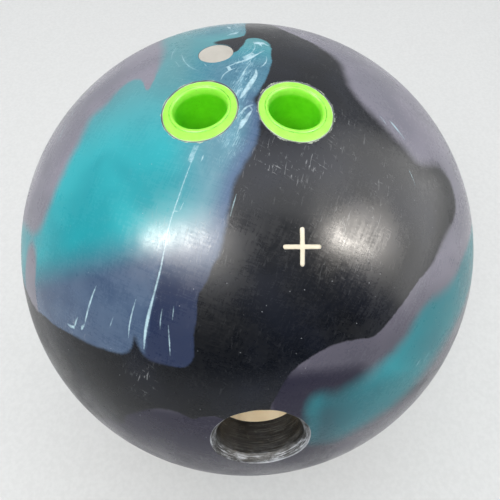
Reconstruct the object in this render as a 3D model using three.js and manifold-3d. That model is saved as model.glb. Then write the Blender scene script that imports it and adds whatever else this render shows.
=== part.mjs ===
// Bowling ball, drilled for a conventional three-hole grip.
// Millimetres, +Z up. The origin is the ball's centre, -Y is the side of the thumb hole.
import * as THREE from 'three';
import { mergeVertices } from 'three/addons/utils/BufferGeometryUtils.js';
import Module from 'manifold-3d';

const wasm = await Module();
wasm.setup();

// ---------------------------------------------------------------- driving dimensions
const GAP = 0.3; // clearance between neighbouring pieces
const ROUND = 48; // facets round a bore
const BLOCK_ROUND = 40; // facets round the weight block
const PIN_ROUND = 32; // facets round the pin
const OVERSHOOT = 4; // how far a cutting shape runs past the surface it cuts
const UNDER_SKIN = 0.15; // inserts, adhesive and paint stop this far under the ball's surface
const WELD = 1e-5; // corners closer than this are one

const BALL_R = 108.5; // outside radius of the ball
const COVER_T = 16.5; // wall of the cast cover
const CORE_R = BALL_R - COVER_T - GAP; // outside radius of the filler
const OUTER_SPLITS = 13; // subdivision of the outer sphere
const INNER_SPLITS = 9; // subdivision of the two spheres at the interface

// Where each feature sits: degrees sideways (+X) and degrees forward (-Y) from the top.
// pitch turns a drilled axis sideways, so that the two finger holes don't run into each other.
const THUMB = { side: 2.2, fore: 72.8, pitch: 0 };
const LEFT = { side: -8.4, fore: 7.0, pitch: 5 };
const RIGHT = { side: 8.8, fore: 7.2, pitch: -5 };
const PIN = { side: -5.9, fore: -8.7, pitch: 0 };
const MARK = { side: 9.1, fore: 32.6, pitch: 0 };

const THUMB_R = 15.9; // 1 1/4 in hole for a thumb slug
const THUMB_DEPTH = 62; // from the surface to the flat floor
const THUMB_BEVEL = 2; // bevel at the mouth, radial and axial
const FLOOR_FILLET = 0.8; // corner left by the drill
const FILLET_MIDDLE = 0.3 * FLOOR_FILLET; // how far that corner's middle stands off wall and floor

const INSERT_R = 12.4; // outside radius of a finger insert
const INSERT_LENGTH = 26;
const INSERT_BORE = { across: 9, along: 8, shift: 1.1 }; // oval bore, moved away from the thumb
const BORE_MOUTH = [[1, 2.4], [1.03, 1.4], [1.09, 0.6], [1.2, 0]]; // widening, depth under the rim
const BORE_FLARE = { widening: 1.5, rise: 2 }; // where the cutting shape ends over the rim
const GLUE_T = 0.4; // wall of the adhesive sleeve
const GLUE_SHORT = 1; // the sleeve ends this far above the insert's foot
const FINGER_R = INSERT_R + GAP + GLUE_T + GAP; // drilled finger hole
const FINGER_DEPTH = 34;

const PIN_R = 6.35; // half-inch locator pin
const BLOCK_TOP = 60; // weight block's ends, measured along the pin's axis
const BLOCK_BOTTOM = -60;
const PIN_REACH = 2; // the pin's hole runs this far into the block's cavity

const MARK_ARM = 6.2; // half length of the cross on the centre mark
const MARK_WIDTH = 1.5;
const MARK_DEPTH = 1.1;
const MARK_RISE = 3; // how far the cross's cutting shape stands over the surface

// ---------------------------------------------------------------- helpers

// Unit vector from the ball's centre toward a feature.
function toward({ side, fore }) {
  const s = THREE.MathUtils.degToRad(side);
  const f = THREE.MathUtils.degToRad(fore);
  return new THREE.Vector3(Math.sin(s), -Math.cos(s) * Math.sin(f), Math.cos(s) * Math.cos(f));
}

// Frame of a feature: origin on the ball's surface, Z out along its axis, Y away from the thumb.
function featureFrame({ side, fore, pitch }) {
  const z = toward({ side: side + pitch, fore });
  const away = toward({ side: side + pitch, fore: fore - 1 }).sub(z);
  const y = away.addScaledVector(z, -away.dot(z)).normalize();
  const x = new THREE.Vector3().crossVectors(y, z);
  const origin = toward({ side, fore }).multiplyScalar(BALL_R);
  return new THREE.Matrix4().makeBasis(x, y, z).setPosition(origin);
}

// Closed three.js geometry to a manifold, for booleans.
function solid(geometry, frame) {
  const bare = new THREE.BufferGeometry();
  bare.setAttribute('position', geometry.getAttribute('position').clone());
  if (geometry.index) {
    bare.setIndex(geometry.index.clone());
  }
  if (frame) {
    bare.applyMatrix4(frame);
  }
  const welded = mergeVertices(bare, WELD);
  const mesh = new wasm.Mesh({
    numProp: 3,
    vertProperties: new Float32Array(welded.getAttribute('position').array),
    triVerts: new Uint32Array(welded.index.array),
  });
  return new wasm.Manifold(mesh);
}

// Solid of revolution about a feature's axis from (radius, height) pairs, axis to axis.
function turned(profile, feature, segments = ROUND) {
  const points = profile.map(([r, z]) => new THREE.Vector2(r, z));
  const lathe = new THREE.LatheGeometry(points, segments);
  lathe.rotateX(Math.PI / 2);
  return solid(lathe, featureFrame(feature));
}

function rod(feature, r, bottom, top, segments = ROUND) {
  return turned([[0, bottom], [r, bottom], [r, top], [0, top]], feature, segments);
}

function sphere(radius, splits) {
  return solid(new THREE.IcosahedronGeometry(radius, splits));
}

// How far the ball's surface lies below a feature's origin, at a distance from a radial axis.
function sag(r) {
  return Math.sqrt(BALL_R * BALL_R - r * r) - BALL_R;
}

// Flat-bottomed drilled hole that runs out past the surface, with a bevel at its mouth if asked.
function drilled(feature, r, depth, bevel = 0) {
  const rim = sag(r + bevel);
  const mouth = bevel > 0
    ? [[r, rim - bevel], [r + bevel, rim], [r + bevel + OVERSHOOT, rim + OVERSHOOT]]
    : [[r, OVERSHOOT]];
  const top = mouth[mouth.length - 1][1];
  return turned([
    [0, -depth],
    [r - FLOOR_FILLET, -depth],
    [r - FILLET_MIDDLE, FILLET_MIDDLE - depth],
    [r, FLOOR_FILLET - depth],
    ...mouth,
    [0, top],
  ], feature);
}

function toMesh(manifold, name, colour, roughness, metalness = 0) {
  const { vertProperties, triVerts } = manifold.getMesh();
  const geometry = new THREE.BufferGeometry();
  geometry.setAttribute('position', new THREE.BufferAttribute(vertProperties, 3));
  geometry.setIndex(new THREE.BufferAttribute(triVerts, 1));
  geometry.computeVertexNormals();
  const material = new THREE.MeshStandardMaterial({ color: colour, roughness, metalness });
  material.name = name;
  const mesh = new THREE.Mesh(geometry, material);
  mesh.name = name;
  return mesh;
}

// ---------------------------------------------------------------- weight block

// Light-bulb block on the pin's axis: wide low lobe, waist clear of the thumb hole, column on top.
// grow moves the whole outline outward, for the cavity round it.
function blockOutline(grow) {
  const outline = [
    [30, BLOCK_BOTTOM], [42, -54], [49, -42], [50, -30], [45, -18], [36, -9],
    [33, 4], [32, 22], [33, 38], [31, 50], [24, BLOCK_TOP],
  ];
  const points = outline.map(([r, z]) => new THREE.Vector2(r, z));
  const grown = points.map((p, i) => {
    const before = points[i - 1] ?? new THREE.Vector2(0, p.y);
    const after = points[i + 1] ?? new THREE.Vector2(0, p.y);
    const inward = p.clone().sub(before).normalize();
    const outward = after.clone().sub(p).normalize();
    const n1 = new THREE.Vector2(inward.y, -inward.x);
    const n2 = new THREE.Vector2(outward.y, -outward.x);
    const normal = n1.add(n2).normalize();
    const cosine = normal.dot(n2);
    return p.clone().addScaledVector(normal, grow / cosine);
  });
  return [
    [0, BLOCK_BOTTOM - grow],
    ...grown.map((p) => [p.x, p.y]),
    [0, BLOCK_TOP + grow],
  ];
}

// The outline is measured from the ball's centre, a feature's frame from the surface.
function blockSolid(grow) {
  const outline = blockOutline(grow).map(([r, z]) => [r, z - BALL_R]);
  return turned(outline, PIN, BLOCK_ROUND);
}

// ---------------------------------------------------------------- drilling

const thumbHole = drilled(THUMB, THUMB_R, THUMB_DEPTH, THUMB_BEVEL);
const fingerHoles = [LEFT, RIGHT].map((hole) => drilled(hole, FINGER_R, FINGER_DEPTH));

const blockTop = BLOCK_TOP - BALL_R;
const pinHole = rod(PIN, PIN_R + GAP, blockTop - PIN_REACH, OVERSHOOT, PIN_ROUND);

// Plain cross, cut into the surface over the ball's centre of gravity.
function crossPrism(grow, bottom) {
  const a = MARK_ARM + grow;
  const w = MARK_WIDTH / 2 + grow;
  const corners = [
    [-w, -a], [w, -a], [w, -w], [a, -w], [a, w], [w, w],
    [w, a], [-w, a], [-w, w], [-a, w], [-a, -w], [-w, -w],
  ];
  const shape = new THREE.Shape(corners.map(([x, y]) => new THREE.Vector2(x, y)));
  const prism = new THREE.ExtrudeGeometry(shape, { depth: MARK_RISE - bottom, bevelEnabled: false });
  prism.translate(0, 0, bottom);
  return solid(prism, featureFrame(MARK));
}

// ---------------------------------------------------------------- pieces

const ballSkin = sphere(BALL_R, OUTER_SPLITS);
const underSkin = sphere(BALL_R - UNDER_SKIN, OUTER_SPLITS);
const holes = [thumbHole, ...fingerHoles, pinHole];

let cover = ballSkin.subtract(sphere(BALL_R - COVER_T, INNER_SPLITS));
for (const hole of [...holes, crossPrism(GAP, -MARK_DEPTH)]) {
  cover = cover.subtract(hole);
}

let filler = sphere(CORE_R, INNER_SPLITS).subtract(blockSolid(GAP));
for (const hole of holes) {
  filler = filler.subtract(hole);
}

const weightBlock = blockSolid(0);
const pin = rod(PIN, PIN_R, blockTop + GAP, OVERSHOOT, PIN_ROUND).intersect(ballSkin);
const markPaint = crossPrism(0, GAP - MARK_DEPTH).intersect(underSkin);

// Oval bore of an insert, with a rounded mouth.
function insertBore(feature) {
  const { across, along, shift } = INSERT_BORE;
  const rim = sag(along);
  const bottom = -INSERT_LENGTH - OVERSHOOT;
  const top = rim + BORE_FLARE.rise;
  const mouth = BORE_MOUTH.map(([widening, depth]) => [widening, rim - depth]);
  const profile = [[0, bottom], [1, bottom], ...mouth, [BORE_FLARE.widening, top], [0, top]];
  const points = profile.map(([r, z]) => new THREE.Vector2(r, z));
  const lathe = new THREE.LatheGeometry(points, ROUND);
  lathe.rotateX(Math.PI / 2);
  lathe.scale(across, along, 1);
  lathe.translate(0, shift, 0);
  return solid(lathe, featureFrame(feature));
}

function fingerInsert(feature) {
  const body = rod(feature, INSERT_R, -INSERT_LENGTH, OVERSHOOT).intersect(underSkin);
  return body.subtract(insertBore(feature));
}

function glueSleeve(feature) {
  const inner = INSERT_R + GAP;
  const outside = rod(feature, inner + GLUE_T, GLUE_SHORT - INSERT_LENGTH, OVERSHOOT);
  const inside = rod(feature, inner, -INSERT_LENGTH, OVERSHOOT + GAP);
  return outside.subtract(inside).intersect(underSkin);
}

// ---------------------------------------------------------------- assembly

const group = new THREE.Group();
group.name = 'bowling_ball';
group.add(
  toMesh(cover, 'coverstock', '#3b4f63', 0.35),
  toMesh(filler, 'outer_core', '#e2ceac', 0.8),
  toMesh(weightBlock, 'weight_block', '#8a5a3c', 0.75),
  toMesh(pin, 'locator_pin', '#c9c2b8', 0.5),
  toMesh(fingerInsert(LEFT), 'finger_insert_left', '#74dd28', 0.55),
  toMesh(fingerInsert(RIGHT), 'finger_insert_right', '#74dd28', 0.55),
  toMesh(glueSleeve(LEFT), 'insert_glue_left', '#d9d2bc', 0.7),
  toMesh(glueSleeve(RIGHT), 'insert_glue_right', '#d9d2bc', 0.7),
  toMesh(markPaint, 'centre_mark_paint', '#e8dcc0', 0.6),
);

export default group;
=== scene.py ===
import math

import bmesh
import bpy
import numpy as np
from mathutils import Matrix, Vector, geometry, kdtree, noise


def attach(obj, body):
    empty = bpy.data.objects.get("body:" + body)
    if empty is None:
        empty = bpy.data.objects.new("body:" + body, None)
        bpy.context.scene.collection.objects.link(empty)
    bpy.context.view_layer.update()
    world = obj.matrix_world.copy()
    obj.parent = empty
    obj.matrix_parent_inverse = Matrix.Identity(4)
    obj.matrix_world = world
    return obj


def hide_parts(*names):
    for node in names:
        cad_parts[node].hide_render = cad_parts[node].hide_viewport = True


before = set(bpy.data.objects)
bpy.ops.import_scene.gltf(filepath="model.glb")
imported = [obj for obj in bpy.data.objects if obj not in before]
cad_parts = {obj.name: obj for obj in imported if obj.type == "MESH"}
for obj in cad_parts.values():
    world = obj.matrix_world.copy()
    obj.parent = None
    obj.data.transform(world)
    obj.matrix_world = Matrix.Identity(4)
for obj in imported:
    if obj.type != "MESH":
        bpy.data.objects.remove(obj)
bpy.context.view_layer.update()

# ------------------------------------------------------------------ dimensions (mm and degrees)
MM = 0.001
TINY = 1e-12  # keeps divisions safe
cover_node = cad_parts["coverstock"]
BALL_R = max(v.co.length for v in cover_node.data.vertices) / MM  # outside radius of the ball
COVER_T = 16.5  # wall of the cast cover
INTERFACE_R = BALL_R - COVER_T  # radius where cover and filler meet
SEAM = 0.05  # the filler's skin lies this far under the cover

THUMB_R = 15.9
THUMB_DEPTH = 62.0
THUMB_BEVEL = 2.4  # radial width of the hand-cut bevel at the mouth
FLOOR_FILLET = 0.8
FINGER_R = 12.95  # finger hole, as it reads with the adhesive in place
FINGER_EDGE = 0.3  # softened edge of a finger hole
FINGER_DEPTH = 34.0
INSERT_R = 12.6
INSERT_LENGTH = 26.0
BORE_ACROSS, BORE_ALONG, BORE_SHIFT = 9.0, 8.0, 1.1  # half axes of the oval, and its offset
PIN_R = 6.4
MARK_ARM, MARK_HALF = 6.2, 0.75  # cross over the centre of gravity
MARK_DEPTH = 0.5
MARK_PLAY = 0.12  # the recess is this much wider than the paint, on each side
PIN_EDGE = 0.14  # softened edge of the pin's hole
PIN_PLAY = 0.05  # room round the pin in the cover; the filler leaves twice that
GLUE_PLAY = 0.02  # room on both sides of the adhesive
BLOCK_PLAY = 0.3  # room round the weight block in its cavity

# outline of the weight block: radius and height along the pin's axis, from the ball's centre
BLOCK_OUTLINE = [
    (30, -60), (42, -54), (49, -42), (50, -30), (45, -18), (36, -9),
    (33, 4), (32, 22), (33, 38), (31, 50), (24, 60),
]
BLOCK_BOTTOM, BLOCK_TOP = BLOCK_OUTLINE[0][1], BLOCK_OUTLINE[-1][1]
BOTTOM_FLAT, TOP_FLAT = 16, 14  # radii of its flat end faces

PALM_TILT = 33.0  # the palm chart is centred this far forward of the top


def toward(side, fore):
    """Unit vector toward a place: degrees sideways (+X) and forward (-Y) from the top."""
    s, f = math.radians(side), math.radians(fore)
    return Vector((math.sin(s), -math.cos(s) * math.sin(f), math.cos(s) * math.cos(f)))


def turn(count):
    return [2 * math.pi * k / count for k in range(count)]


class Feature:
    """Frame of a drilled feature: origin on the ball, z out along its axis, y away from the thumb."""

    def __init__(self, side, fore, pitch=0.0):
        self.z = toward(side + pitch, fore)
        away = toward(side + pitch, fore - 1) - self.z
        self.y = (away - away.dot(self.z) * self.z).normalized()
        self.x = self.y.cross(self.z)
        self.origin = toward(side, fore) * BALL_R

    def at(self, x, y, z):
        return self.origin + x * self.x + y * self.y + z * self.z

    def height(self, x, y, radius):
        """Where the line along the axis through (x, y) leaves a sphere about the ball's centre."""
        base = self.at(x, y, 0)
        b = base.dot(self.z)
        return math.sqrt(b * b - base.length_squared + radius * radius) - b

    def on(self, x, y, radius, lift=0.0):
        return self.at(x, y, self.height(x, y, radius) + lift)

    def local(self, points):
        """An array of points in this frame."""
        return (points - np.array(self.origin)) @ np.array((self.x, self.y, self.z)).T


THUMB = Feature(2.2, 72.8)
LEFT = Feature(-8.4, 7.0, 5)
RIGHT = Feature(8.8, 7.2, -5)
PIN = Feature(-5.9, -8.7)
MARK = Feature(9.1, 32.6)

# ------------------------------------------------------------------ the palm chart
PALM = toward(0, PALM_TILT)
PALM_U = Vector((1, 0, 0))
PALM_V = PALM.cross(PALM_U)
MM_PER_DEGREE = math.radians(1) * BALL_R


def chart(points):
    """Degrees (u, v) from the palm direction, u to the right and v away from the thumb."""
    unit = points / np.linalg.norm(points, axis=1)[:, None]
    side, up, out = unit @ np.array(PALM_U), unit @ np.array(PALM_V), unit @ np.array(PALM)
    rho = np.degrees(np.arccos(np.clip(out, -1, 1)))
    flat = np.maximum(np.hypot(side, up), 1e-9)
    return np.stack([rho * side / flat, rho * up / flat], 1)


def from_chart(u, v):
    rho = math.radians(math.hypot(u, v))
    phi = math.atan2(v, u)
    sideways = math.cos(phi) * PALM_U + math.sin(phi) * PALM_V
    return (math.cos(rho) * PALM + math.sin(rho) * sideways) * BALL_R


def rounded(outline, closed=True, times=3):
    """Corner cutting: a soft outline through the middle of each side."""
    p = np.array(outline, float)
    for _ in range(times):
        after = np.roll(p, -1, 0) if closed else p[1:]
        here = p if closed else p[:-1]
        cut = np.stack([0.75 * here + 0.25 * after, 0.25 * here + 0.75 * after], 1).reshape(-1, 2)
        p = cut if closed else np.vstack([p[:1], cut, p[-1:]])
    return p


def segment_distance(points, a, b):
    """Distance of each point from the segment, and how far along it the nearest point is."""
    ab = b - a
    t = np.clip((points - a) @ ab / max(ab @ ab, TINY), 0, 1)
    gap = points - a - t[:, None] * ab
    return np.hypot(gap[:, 0], gap[:, 1]), t


def signed_distance(points, outline):
    """Millimetres inside (+) or outside (-) an outline on the chart."""
    poly = rounded(outline)
    best = np.full(len(points), 1e9)
    inside = np.zeros(len(points), bool)
    for a, b in zip(poly, np.roll(poly, -1, 0)):
        best = np.minimum(best, segment_distance(points, a, b)[0])
        spans = (a[1] > points[:, 1]) != (b[1] > points[:, 1])
        if spans.any():
            x = a[0] + (points[:, 1] - a[1]) * (b[0] - a[0]) / (b[1] - a[1] + TINY)
            inside ^= spans & (points[:, 0] < x)
    return np.where(inside, best, -best) * MM_PER_DEGREE


def smooth(x, low, high):
    t = np.clip((x - low) / (high - low), 0, 1)
    return t * t * (3 - 2 * t)


# ------------------------------------------------------------------ the marbling, on the chart
BLACK = [
    (0, 82), (0, 66), (-0.2, 56), (0, 53), (0, 50.5), (-0.8, 48.8), (-2.5, 47.9), (-5, 47.3),
    (-7.6, 46.4), (-6.5, 45.3), (-4, 44.4), (-3.2, 43), (-3, 41), (-1.7, 41.8), (-0.9, 44),
    (-0.4, 46.4), (0.4, 47.5), (2, 47.9), (3.6, 47.3), (4.8, 45.8), (5.5, 44), (5.5, 42), (5, 40.5),
    (5.5, 38.9), (4.9, 37), (4.2, 34.5), (3.5, 32), (2.6, 29.5), (0.8, 27.4), (2.1, 25.6),
    (2.3, 22), (1.7, 19), (0.6, 16.5), (-0.8, 14), (-1.8, 12), (-2.8, 8.5), (-3.6, 4), (-4.2, 1),
    (-5.2, -2), (-6.6, -4.6), (-8.2, -7.5), (-8.9, -11), (-9.2, -15), (-9.7, -19), (-10.6, -20.9),
    (-14, -21), (-17.6, -20.2), (-19.4, -18.9), (-20.1, -17.2), (-20.4, -14.6), (-20.9, -16.8),
    (-21.8, -18.4), (-23.4, -19.4), (-25, -19.6), (-30, -18.8), (-36, -17.5),
    (-42, -16.3), (-47, -15.2), (-52, -14),
    (-58, -10), (-72, -4), (-90, -8), (-84, -42), (-64, -62), (-50, -54), (-43, -47),
    (-38, -43), (-35, -41), (-31, -40.5), (-28.5, -40), (-28, -37.5), (-25, -34.5), (-20, -32),
    (-16, -31), (-13.5, -32), (-11, -33.6), (-9, -32), (-5, -32), (-1, -36), (2, -40), (4, -36),
    (4, -30), (5, -27), (6.5, -23.5), (9, -20), (13, -17.5), (17, -16.5), (20, -16.5),
    (24, -16), (27, -13), (30, -10), (32, -7), (36, -4), (40, 0), (42, 3), (46, 6), (48, 9),
    (48, 13), (46, 17), (42, 19), (38, 17.5), (35, 17.5), (32, 20), (28, 24), (24, 28),
    (21.5, 32), (21, 36), (21.5, 40), (20, 44), (15, 49), (10, 54), (7, 60), (5, 70), (5, 82),
]
TEAL_LEFT = [
    (-28, 82), (-26, 66), (-23, 57), (-20.5, 50), (-18.3, 43), (-18.8, 37), (-19.8, 31.5),
    (-20.6, 33), (-22, 36.5), (-25, 37), (-28, 34.5), (-30, 31), (-33.5, 29.5), (-34.5, 26),
    (-36, 22), (-39, 16), (-42, 10), (-45, 5), (-50, 3.5), (-55, 6), (-62, 8), (-78, 10),
    (-84, -6), (-72, -24), (-50, -26), (-30, -26), (-6, -28), (12, -10), (12, 40), (8, 54),
    (3, 64), (2, 82),
]
TEAL_INLET = [
    (-60, -18), (-57, -6), (-54, 0), (-51, 2.5), (-48, 1), (-48, -4), (-50, -9), (-50, -18),
]
TEAL_RIGHT = [
    (70, 12), (58, 4), (50, -3), (46, -7), (42, -9), (37, -10.5), (34, -13), (32, -17), (28, -21),
    (24, -24.5), (20, -27), (16, -28.5), (13, -27), (11, -30), (12, -36), (13, -42), (17, -43.5),
    (22, -42), (28, -39), (33, -36.5), (38, -32.5), (43, -28), (48, -22), (56, -15), (64, -8),
    (78, -2), (84, 8),
]
# full width in mm, then the line
STREAKS = [
    (0.5, (-8.3, 18.2), (-9.4, 15.5), (-10.6, 12), (-11.9, 8), (-13.2, 4.2), (-14, 0.2), (-14.7, -3)),
    (0.8, (-13.8, 1), (-14.7, -3), (-15.6, -6), (-16.6, -9), (-17.6, -12)),
    (1.3, (-16, -7), (-16.8, -9.6), (-17.6, -12), (-18.4, -15), (-18.9, -17.9)),
    (0.3, (-9.2, 18.2), (-9.6, 17), (-10.2, 15.4)),
    (0.5, (-7.4, 16.3), (-7.9, 15)),
    (0.4, (-10.6, 8.2), (-11.4, 6.4)),
    (0.4, (-14.6, 2), (-15.5, 0)),
    (0.9, (-28, -6.4), (-29.5, -9), (-31, -12), (-32.2, -14.8)),
    (1.3, (-37.4, -15), (-36.4, -15.7), (-35.2, -15.3)),
    (0.9, (-35.4, -15.9), (-34.6, -14.2), (-33.6, -13)),
    (1.4, (-33.3, -15.8), (-32.5, -14.6)),
    (0.5, (-25.8, -14.3), (-24.6, -12)),
    (0.7, (-21.9, -16), (-21.4, -13.5), (-20.6, -11), (-19.6, -8.5)),
    (0.5, (-15.4, -13.8), (-15.2, -12), (-14.7, -10)),
    (0.5, (-13.9, -18.8), (-13.8, -16.5), (-13.8, -13)),
    (0.4, (-13, -12), (-12.6, -9.5)),
    (0.5, (-2.9, 5.2), (-2.4, 7.2), (-1.8, 9.2)),
    (0.9, (-4.4, 36.1), (-3, 36.9), (-1.8, 37.7), (0, 38.4), (1.5, 39.6), (2.8, 41.2), (3.9, 42.1)),
    (1.3, (-2.6, 37.2), (-1.9, 37.8), (-1.2, 37.7)),
    (0.5, (-0.8, 39.6), (0.4, 40.4), (1.2, 41.4), (1.9, 43), (1.9, 44.6), (1.4, 46)),
    (0.5, (-0.4, 38.7), (0.8, 39.5), (1.6, 40.5)),
    (1.0, (2.5, 46), (3, 45), (3.4, 43.8)),
    (0.8, (3.7, 45.8), (4.3, 44.7), (5, 44)),
    (0.6, (4.1, 40), (4.2, 39), (4, 37.8), (3.4, 36.8), (2.7, 36.1)),
    (2.0, (1.9, 35.4), (1.9, 34), (1.3, 32.5), (0.5, 31), (-0.2, 29.5), (-1.1, 27.8)),
    (0.6, (1.2, 37.6), (0.3, 36.6), (-0.2, 35.5), (-0.7, 34), (-1.2, 33), (-1.7, 31.9), (-2.6, 30.6)),
    (0.6, (-5, 32.5), (-4.6, 33.9), (-3.9, 34.8), (-3, 35.5), (-2, 36)),
    (0.9, (-2, 28.4), (-1.6, 29.5), (-1, 30.3)),
    (0.8, (-1.4, 24), (-0.4, 25.5), (0.8, 26.3), (1.6, 26.2)),
    (1.4, (-0.9, 21.4), (-0.2, 23), (0.5, 24.3), (1, 25.1)),
    (0.5, (-1.8, 19.8), (-1.3, 21.5), (-1, 23)),
    (0.6, (-16.2, 46.6), (-16.5, 44.5), (-16.5, 43), (-16.3, 41.4)),
    (0.6, (-14.2, 43), (-13.6, 41), (-12.6, 38.8), (-11.2, 37), (-9.2, 35.6)),
    (0.4, (-15.3, 40.5), (-14.6, 39.4), (-13.9, 38)),
    (0.4, (-8.6, 38), (-7.9, 36.8)),
    (1.6, (-4.8, 57.8), (-4.4, 56.4), (-3.9, 55)),
    (0.9, (-4.5, 49.7), (-3.8, 50.5), (-3.2, 51.1)),
    (0.8, (-2.7, 50.4), (-2, 51.4), (-1.8, 52.4)),
    (0.6, (-45.6, 25.5), (-44.4, 29), (-44.6, 31.5)),
    (0.5, (-44, 33), (-42.6, 35.5)),
    (0.6, (36.5, -26), (37.6, -24)),
    (0.5, (39, -25.5), (40.4, -23)),
    (0.5, (26.8, 27), (27.6, 26), (28.2, 24.8)),
    (1.0, (29.2, 26.4), (30.6, 24.8), (32.4, 22.4)),
    (0.4, (31.8, 15.6), (32.6, 14), (33.1, 12.4)),
]
FAR_SEED = 1795000716  # noise_vector goes by the clock without a seed

# centre, radius in degrees, strength
SCUFFS = [
    (5, 14, 5, 1.0), (12, 14.5, 3.5, 0.9), (18, 20, 6, 0.5), (25, 12, 3, 0.7), (33, 14, 2, 0.6),
    (20, 42.5, 4, 0.6), (-20, -24.5, 3.5, 0.9), (-35, -15, 4, 0.7), (-0.5, 11, 2, 0.7), (-9, 2, 7, 0.5),
    (20, 2.5, 8, 0.5), (-43, 29, 4, 0.5), (38, -25, 4, 0.4), (8, -41, 6, 0.3),
]

# ------------------------------------------------------------------ mesh building


def column(items, name, width=1, kind=float):
    """One property of every item in a mesh's collection, as an array."""
    values = np.empty(len(items) * width, kind)
    items.foreach_get(name, values)
    return values.reshape(-1, width) if width > 1 else values


class Mesher:
    """Collects points, faces, material slots and shading groups of one closed piece, in mm."""

    def __init__(self):
        self.points, self.faces, self.slots, self.groups = [], [], [], []

    def add(self, points):
        start = len(self.points)
        self.points += [Vector(p) for p in points]
        return list(range(start, len(self.points)))

    def face(self, corners, slot=0, group=0):
        self.faces.append(tuple(corners))
        self.slots.append(slot)
        self.groups.append(group)

    def strip(self, one, other, slot=0, group=0):
        """Quads between two closed rings with as many points."""
        for k in range(len(one)):
            n = (k + 1) % len(one)
            self.face((one[k], one[n], other[n], other[k]), slot, group)

    def loft(self, rings, slot=0, group=0, closed=False):
        indices = [r if isinstance(r[0], int) else self.add(r) for r in rings]
        pairs = zip(indices, indices[1:] + indices[:1]) if closed else zip(indices, indices[1:])
        for one, other in pairs:
            self.strip(one, other, slot, group)
        return indices

    def cap(self, ring, centre, slot=0, group=0):
        (middle,) = self.add([centre])
        for k in range(len(ring)):
            self.face((ring[k], ring[(k + 1) % len(ring)], middle), slot, group)

    def build(self, name, node, materials, radial=()):
        """The mesh object, in metres. Groups in radial shade as spheres about the centre."""
        mesh = bpy.data.meshes.new(name)
        mesh.from_pydata([p * MM for p in self.points], [], self.faces)
        mesh.polygons.foreach_set("material_index", self.slots)
        work = bmesh.new()
        work.from_mesh(mesh)
        bmesh.ops.recalc_face_normals(work, faces=work.faces)
        work.to_mesh(mesh)
        work.free()
        mesh.polygons.foreach_set("use_smooth", [True] * len(mesh.polygons))
        mesh.update()
        self.shade(mesh, radial)
        for material in materials:
            mesh.materials.append(material)
        piece = bpy.data.objects.new(name, mesh)
        bpy.context.scene.collection.objects.link(piece)
        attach(piece, "root")
        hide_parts(node)
        return piece

    def shade(self, mesh, radial):
        """Corner normals that are smooth within a shading group and break between groups."""
        points = column(mesh.vertices, "co", 3)
        normals = column(mesh.polygons, "normal", 3)
        area = column(mesh.polygons, "area")
        corner = column(mesh.loops, "vertex_index", kind=int)
        sides = column(mesh.polygons, "loop_total", kind=int)
        owner = np.repeat(np.arange(len(sides)), sides)
        group = np.array(self.groups)[owner]
        key = group * len(points) + corner
        total = np.zeros(((group.max() + 1) * len(points), 3))
        np.add.at(total, key, (normals * area[:, None])[owner])
        shading = total[key]
        for g in radial:
            mine = group == g
            outward = points[corner[mine]]
            facing = np.sign((outward * normals[owner[mine]]).sum(1))
            shading[mine] = outward * facing[:, None]
        shading /= np.maximum(np.linalg.norm(shading, axis=1), TINY)[:, None]
        mesh.normals_split_custom_set(shading.tolist())


CROWDED = 0.5  # mm; extra points nearer than this to another are dropped
APART = 0.62  # share of the spacing that the spiral's points keep from the outlines
ROW = 0.866  # height of an even-sided triangle with sides of 1
GOLDEN = math.pi * (3 - math.sqrt(5))


def outline_points(radius, outlines, extra):
    """The points that a sphere's mesh has to have, the edges between them, and whose is which."""
    fixed, edges, places = [], [], []
    for path in outlines:
        start = len(fixed)
        fixed += [p.normalized() * radius for p in path]
        edges += [(start + k, start + (k + 1) % len(path)) for k in range(len(path))]
        places.append(list(range(start, len(fixed))))
    for p in extra:
        unit = p.normalized()
        crowded = any((unit * radius - q).length < CROWDED for q in fixed)
        if not crowded and not any(inside_outline(unit, o) for o in outlines):
            fixed.append(unit * radius)
    return fixed, edges, places


def spiral_points(radius, outlines, fixed, spacing):
    """Even points on a spiral from the palm to the far side, clear of the fixed ones and the holes."""
    tree = kdtree.KDTree(len(fixed))
    for k, p in enumerate(fixed):
        tree.insert(p, k)
    tree.balance()
    rims = []
    for o in outlines:
        middle = (sum(o, Vector()) / len(o)).normalized()
        rims.append((middle, min(p.normalized().dot(middle) for p in o), o))
    points = []
    out, k = 1.0, 0
    while out > -0.9999:
        step = spacing(math.degrees(math.acos(max(-1.0, min(1.0, out)))))
        out -= step * step * ROW / (2 * math.pi * radius * radius)
        k += 1
        if out <= -1:
            break
        flat = math.sqrt(max(0.0, 1 - out * out))
        around = math.cos(k * GOLDEN) * PALM_U + math.sin(k * GOLDEN) * PALM_V
        p = flat * around + out * PALM
        near = tree.find(p * radius)[2] < APART * step
        if not near and not any(p.dot(c) > rim and inside_outline(p, o) for c, rim, o in rims):
            points.append(p * radius)
    return points


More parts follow.
